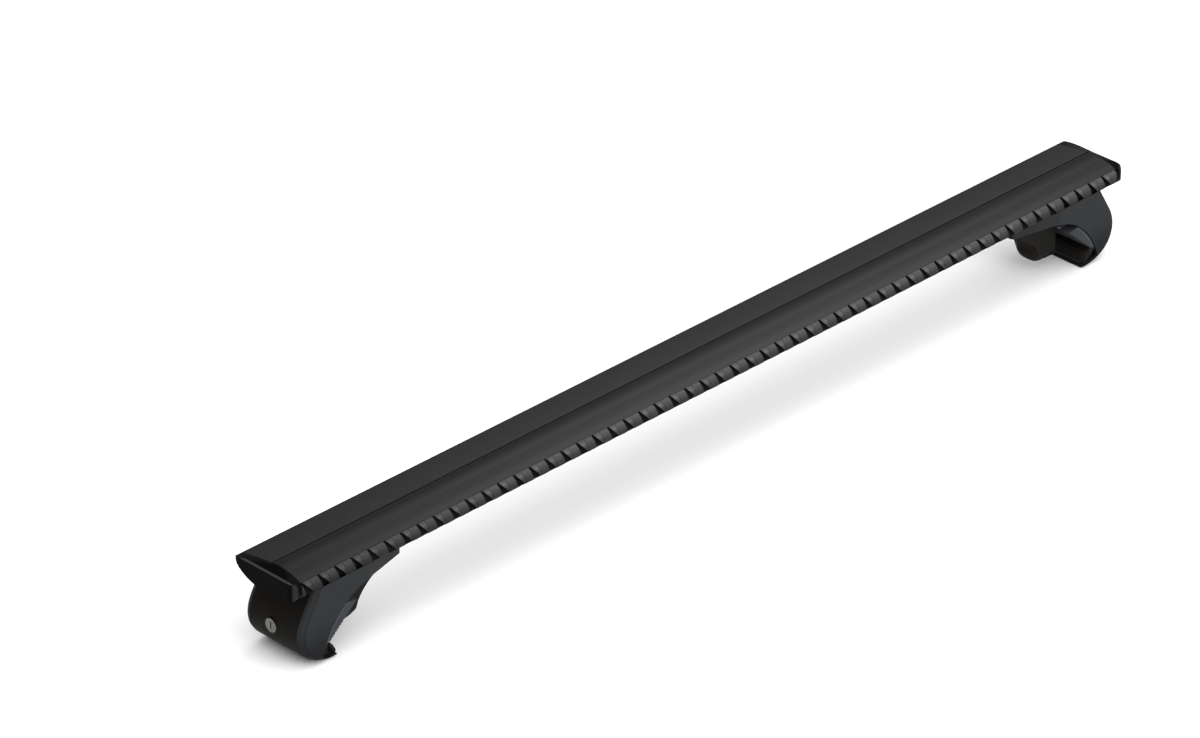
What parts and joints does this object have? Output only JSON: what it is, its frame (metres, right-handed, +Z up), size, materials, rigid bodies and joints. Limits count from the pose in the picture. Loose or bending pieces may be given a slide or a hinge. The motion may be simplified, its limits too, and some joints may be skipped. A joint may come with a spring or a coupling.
{
  "type": "roof_rack_crossbar",
  "caption": "Aero roof rack crossbar: wing-shaped black aluminium bar with toothed wind strip, moulded end caps and two lockable clamp feet for raised rails",
  "frame": {"origin": "middle of the bar's length, level with the flat lips that the feet stand on", "axes": "+X along the bar to the right foot, +Y from the toothed nose to the thin tail, +Z up"},
  "size_m": [1.2, 0.0851, 0.1097],
  "materials": {
    "bar": "satin black anodised",
    "strip": "matt black, toothed",
    "cap": "gloss black",
    "shell": "dark grey, fine grain",
    "cover": "black, fine grain",
    "block": "black, fine grain",
    "gasket": "matt black",
    "pad": "matt blue-grey",
    "jaw": "black coat on pressed steel",
    "steel": "zinc plated",
    "lock": "light satin plate",
    "sleeve": "black ring"
  },
  "bodies": {
    "bar": {"bar_extrusion": "bar", "wind_strip": "strip", "left_end_cap": "cap", "right_end_cap": "cap"},
    "left_foot": {"left_foot_shell": "shell", "left_support_block": "block", "left_bar_gasket": "gasket", "left_rail_pad": "gasket", "left_barrel_nut": "steel", "left_slot_slider": "steel", "left_slot_bolts": "steel", "left_hinge_pin": "steel"},
    "left_jaw": {"left_clamp_jaw": "jaw", "left_jaw_pad": "pad", "left_washer": "steel"},
    "left_screw": {"left_clamp_screw": "steel"},
    "left_cover": {"left_lock_cover": "cover", "left_lock_sleeve": "sleeve"},
    "left_lock": {"left_lock_barrel": "lock", "left_lock_cam": "steel", "left_cam_screw": "steel"},
    "right_foot": {"right_foot_shell": "shell", "right_support_block": "block", "right_bar_gasket": "gasket", "right_rail_pad": "gasket", "right_barrel_nut": "steel", "right_slot_slider": "steel", "right_slot_bolts": "steel", "right_hinge_pin": "steel"},
    "right_jaw": {"right_clamp_jaw": "jaw", "right_jaw_pad": "pad", "right_washer": "steel"},
    "right_screw": {"right_clamp_screw": "steel"},
    "right_cover": {"right_lock_cover": "cover", "right_lock_sleeve": "sleeve"},
    "right_lock": {"right_lock_barrel": "lock", "right_lock_cam": "steel", "right_cam_screw": "steel"}
  },
  "joints": [
    {"name": "left_foot_slide", "type": "slide", "parent": "bar", "child": "left_foot", "axis": [1, 0, 0], "range_m": [0, 0.12]},
    {"name": "left_jaw_slide", "type": "slide", "parent": "left_foot", "child": "left_jaw", "axis": [0.9397, 0, 0.342], "range_m": [0, 0.009]},
    {"name": "left_screw_turn", "type": "hinge", "parent": "left_jaw", "child": "left_screw", "pos_m": [-0.526, 0, 0.069], "axis": [0.9397, 0, 0.342], "range_deg": [0, 2600]},
    {"name": "left_cover_hinge", "type": "hinge", "parent": "left_foot", "child": "left_cover", "pos_m": [-0.5704, 0, 0.075], "axis": [0, 1, 0], "range_deg": [0, 50]},
    {"name": "left_lock_turn", "type": "hinge", "parent": "left_cover", "child": "left_lock", "pos_m": [-0.5914, 0.003, 0.0375], "axis": [-1, 0, 0], "range_deg": [0, 90]},
    {"name": "right_foot_slide", "type": "slide", "parent": "bar", "child": "right_foot", "axis": [-1, 0, 0], "range_m": [0, 0.12]},
    {"name": "right_jaw_slide", "type": "slide", "parent": "right_foot", "child": "right_jaw", "axis": [-0.9397, 0, 0.342], "range_m": [0, 0.009]},
    {"name": "right_screw_turn", "type": "hinge", "parent": "right_jaw", "child": "right_screw", "pos_m": [0.526, 0, 0.069], "axis": [-0.9397, 0, 0.342], "range_deg": [0, 2600]},
    {"name": "right_cover_hinge", "type": "hinge", "parent": "right_foot", "child": "right_cover", "pos_m": [0.5704, 0, 0.075], "axis": [0, -1, 0], "range_deg": [0, 50]},
    {"name": "right_lock_turn", "type": "hinge", "parent": "right_cover", "child": "right_lock", "pos_m": [0.5914, 0.003, 0.0375], "axis": [-1, 0, 0], "range_deg": [0, 90]}
  ],
  "couplings": [
    {"joint": "left_screw_turn", "follows": "left_jaw_slide", "rad_per_m": 5026.5},
    {"joint": "right_screw_turn", "follows": "right_jaw_slide", "rad_per_m": 5026.5}
  ]
}
